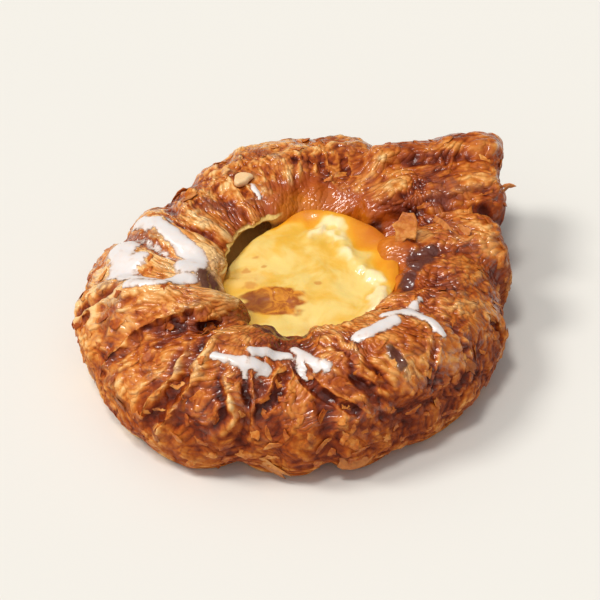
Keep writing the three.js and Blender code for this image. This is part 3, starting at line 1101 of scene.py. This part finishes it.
# %% The chip's material
chip_material, board = new_material("roasted nut")
place = board.place()
board.surface(
    Base_Color=board.blend(board.noise(place, 700, 3, 0.6), (0.80, 0.46, 0.20, 1), (0.90, 0.66, 0.38, 1)),
    Roughness=0.42,
    Subsurface_Weight=0.1,
    Subsurface_Radius=(0.002, 0.001, 0.0006),
    Subsurface_Scale=0.4,
    Normal=board.bump(board.noise(place, 1500, 3, 0.6), 0.3, 0.0003),
)
chip.data.materials.append(chip_material)
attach(chip, "root")
print("nut chip finished")

# %% [markdown]
# ## Lifted flakes
# Where the outermost layers tore, thin leaves stand off the crust along one edge. Each is a small ragged disc
# laid on the crust and lifted towards one side, like a shingle. They all become one mesh and get a thickness
# together. A few larger leaves are placed one by one: two at the front of the base, one standing amber leaf
# by the syrup, a long thin edge on the right and some curls.

# %% One flake
RINGS = (0.4, 0.75, 1.0)
SPOKES = 12
SUNK_EDGE = 0.22
STANDING_LIFT = 3
crust_tree = BVHTree.FromPolygons(baked.tolist(), [tuple(face.vertices) for face in crust.data.polygons])
leaf_points, leaf_faces, leaf_tones = [], [], []


def add_leaf(centre, uphill, half_long, half_wide, lift, tone, chance):
    """Lays a ragged disc on the crust. It lifts towards uphill, and a strong lift makes it stand free."""
    place, way, _, _ = crust_tree.find_nearest(Vector(centre))
    lift_way = Vector(uphill) - way * way.dot(Vector(uphill))
    lift_way.normalize()
    long_way = lift_way.cross(way)
    first = len(leaf_points)
    ragged_edge = 1 + (chance.random(SPOKES) - 0.5) * 0.7
    for ring in (0.0, *RINGS):
        for spoke in range(SPOKES if ring else 1):
            turn = spoke / SPOKES * math.tau
            size = ring * (1 + (ragged_edge[spoke] - 1) * ring)
            u, v = math.cos(turn) * size, math.sin(turn) * size
            spot = place + long_way * (u * half_long) + lift_way * (v * half_wide)
            near, near_way, _, _ = crust_tree.find_nearest(spot)
            raised = min(max((v + 1) / 2, 0), 1)
            height = -SUNK_EDGE + lift * raised**1.6 + 0.2 * raised
            on_flake = near + near_way * min(height, 0.5) + way * max(height - 0.5, 0)
            if lift > STANDING_LIFT:
                upright = place + long_way * (u * half_long * (1 - 0.4 * abs(v)))
                upright += lift_way * (raised * half_wide)
                on_flake = upright + way * (raised * lift - 0.5 + 0.5 * u * u)
            leaf_points.append((on_flake.x, on_flake.y, max(on_flake.z, 0.15)))
            leaf_tones.append(tone + 0.25 * raised)
    for spoke in range(SPOKES):
        after = (spoke + 1) % SPOKES
        leaf_faces.append((first, first + 1 + spoke, first + 1 + after))
        for ring in range(len(RINGS) - 1):
            inner = first + 1 + ring * SPOKES
            outer_ring = inner + SPOKES
            leaf_faces.append((inner + spoke, outer_ring + spoke, outer_ring + after, inner + after))


print("a flake has", SPOKES * len(RINGS), "faces")

# %% Scatter the small flakes
FLAKE_SPACING = 3.4
chance = np.random.default_rng(12)
outward = facing(crust)
flaky = 0.12 + ease(reach, 44, 54) * (1 - ease(baked[:, 2], 14, 34))
flaky += 0.5 * ease(noise(baked, 9, 120), 0.2, 0.5)
flaky *= (baked[:, 2] > 2.5) & (reach > 27) & (syrup < 0.2) & (film < 0.1)
order = chance.permutation(len(baked))
wanted = order[chance.random(len(order)) < np.clip(flaky[order], 0, 1) * 0.02]
taken = []
for index in wanted:
    centre = baked[index]
    if all(np.linalg.norm(centre - other) > FLAKE_SPACING for other in taken):
        taken.append(centre)
        down = outward[index][2] < 0.5
        uphill = np.array([0, 0, -0.7 if down else 0.0]) + chance.normal(0, 1, 3) * 0.8
        half_long, half_wide = chance.uniform(1.0, 2.6), chance.uniform(0.9, 1.9)
        lift, tone = chance.uniform(0.05, 0.6), chance.uniform(-0.5, 0.2)
        add_leaf(centre, uphill, half_long, half_wide, lift, tone, chance)
print(len(taken), "small flakes")

# %% Place the large ones
# Each leaf: its middle in mm, the way it lifts, half length, half width, lift, and how pale it is.
FLAKE_THICKNESS = 0.13
large_leaves = [
    ((14, -52, 6.5), (-0.3, -0.4, -0.9), 5.2, 4.6, 1.7, 0.6),
    ((-8, -54, 5), (0.8, -0.2, -0.6), 2.9, 5.0, 1.3, 0.6),
    ((27, 4, 33), (0.25, 0.95, 0.2), 4.4, 7.0, 5.5, 0.35),
    ((38, 14, 30), (0, 0.4, 1), 6.5, 0.8, 1.3, 0.7),
    ((44, 9, 30), (0.3, 0.3, 1), 2.4, 0.7, 1.6, 0.8),
    ((58, 30, 31), (1, 0.2, 0.4), 0.9, 3.4, 3.2, 0.9),
    ((57, 26, 31), (1, 0.4, 0.9), 0.7, 2.6, 3.1, 0.9),
    ((55, -10, 25), (1, 0, 0.2), 0.6, 1.8, 1.8, 0.7),
    ((41, -30, 21), (0.4, 0.4, -1), 1.6, 3.4, 0.9, 0.4),
    ((-24, -31, 32), (0.6, -0.6, 0.2), 1.6, 0.8, 1.0, 0.7),
    ((-36, 36, 27), (0.2, -0.9, 0.3), 3.2, 1.8, 1.1, 0.7),
    ((-30, 24, 32), (0.7, -0.5, 0), 3.0, 2.0, 0.7, 0.6),
]
for leaf in large_leaves:
    add_leaf(*leaf, chance)
mesh = bpy.data.meshes.new("flakes")
mesh.from_pydata(leaf_points, [], leaf_faces)
flakes = new_object("flakes", mesh)
write_points(flakes, np.array(leaf_points))
keep_values(flakes, "tone", leaf_tones)
finish_with(flakes, "SOLIDIFY", thickness=FLAKE_THICKNESS * MM, offset=0)
shade_smooth(flakes)
print(len(large_leaves), "large flakes,", triangles_of(flakes), "triangles in all")

# %% The flakes' material
flake_material, board = new_material("flaky layers")
place = board.place()
bake = board.node("ShaderNodeGroup", node_tree=bake_group)
board.join(place, bake.inputs["Grain"])
board.join(place, bake.inputs["Place"])
bake.inputs["Fine light and shade"].default_value = 0.25
bake.inputs["Broad tone, light and shade"].default_value = 0.2
pale_share = board.spread(board.kept("tone"), 0.2, 1.1, 0, 0.75)
board.surface(
    Base_Color=board.blend(pale_share, bake.outputs["Colour"], (0.62, 0.245, 0.068, 1)),
    Roughness=0.45,
    Specular_IOR_Level=0.25,
    Subsurface_Weight=0.12,
    Subsurface_Radius=(0.002, 0.0008, 0.0003),
    Subsurface_Scale=0.3,
    Normal=board.bump(bake.outputs["Height"], 0.4, 0.0004),
)
flakes.data.materials.append(flake_material)
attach(flakes, "root")
print("flakes finished")

# %% [markdown]
# ## Table, light and camera
# A pale table under a soft sky, which is brightest above the front left. A window light stands high up at the
# left and casts the short shadow, and a softer light overhead fills in the front. Both leave small glints on
# the glaze. A long lens stands well back, as for a product shot.

# %% The table
deselect()
bpy.ops.mesh.primitive_plane_add(size=6, location=(0, 0, 0))
table = bpy.context.object
table.name = "table"
table_material, board = new_material("pale table")
board.surface(Base_Color=(0.765, 0.742, 0.688, 1), Roughness=1.0, Specular_IOR_Level=0.0)
table.data.materials.append(table_material)
print("table:", round(table.dimensions.x), "m wide")


# %% Lights and surroundings
def place_facing_middle(holder, place, target):
    """Moves a light or camera to a place, and turns it to look at the target."""
    holder.location = target + place
    holder.rotation_mode = "QUATERNION"
    holder.rotation_quaternion = (-place).to_track_quat("-Z", "Y")


def soft_sun(name, place, strength, softness):
    lamp = bpy.data.lights.new(name, "SUN")
    lamp.energy = strength
    lamp.color = (1, 0.985, 0.96)
    lamp.angle = softness
    place_facing_middle(new_object(name, lamp), Vector(place), ring_middle)


soft_sun("window", (-0.58, -0.02, 0.80), 1.5, 0.3)
soft_sun("overhead", (-0.18, -0.20, 0.96), 1.15, 0.2)

world = bpy.data.worlds.new("studio")
bpy.context.scene.world = world
world.use_nodes = True
board = Board(world.node_tree)
sky = world.node_tree.nodes["Background"]
toward = board.node("ShaderNodeVectorMath", operation="DOT_PRODUCT")
board.join(board.node("ShaderNodeTexCoord").outputs["Generated"], toward.inputs[0])
toward.inputs[1].default_value = Vector((-0.28, -0.30, 0.90)).normalized()
board.join(board.spread(toward.outputs["Value"], 0.15, 0.95, 0.18, 0.66), sky.inputs["Strength"])
sky.inputs["Color"].default_value = (0.985, 0.99, 1, 1)
bpy.context.scene.view_settings.view_transform = "Standard"
print("lights:", [lamp.name for lamp in bpy.data.lights])

# %% The camera
LOOK_DOWN = 43
STAND_BACK = 0.7
LOOK_HEIGHT = 0.015
FIELD = 0.1613
lens = bpy.data.cameras.new("camera")
lens.sensor_width = 36
lens.lens = lens.sensor_width * STAND_BACK / FIELD
camera = new_object("camera", lens)
tilt = math.radians(LOOK_DOWN)
backwards = Vector((0, -math.cos(tilt), math.sin(tilt)))
place_facing_middle(camera, backwards * STAND_BACK, ring_middle + Vector((0, 0, LOOK_HEIGHT)))
bpy.context.scene.camera = camera
print("camera with a", round(lens.lens), "mm lens, looking down", LOOK_DOWN, "degrees")
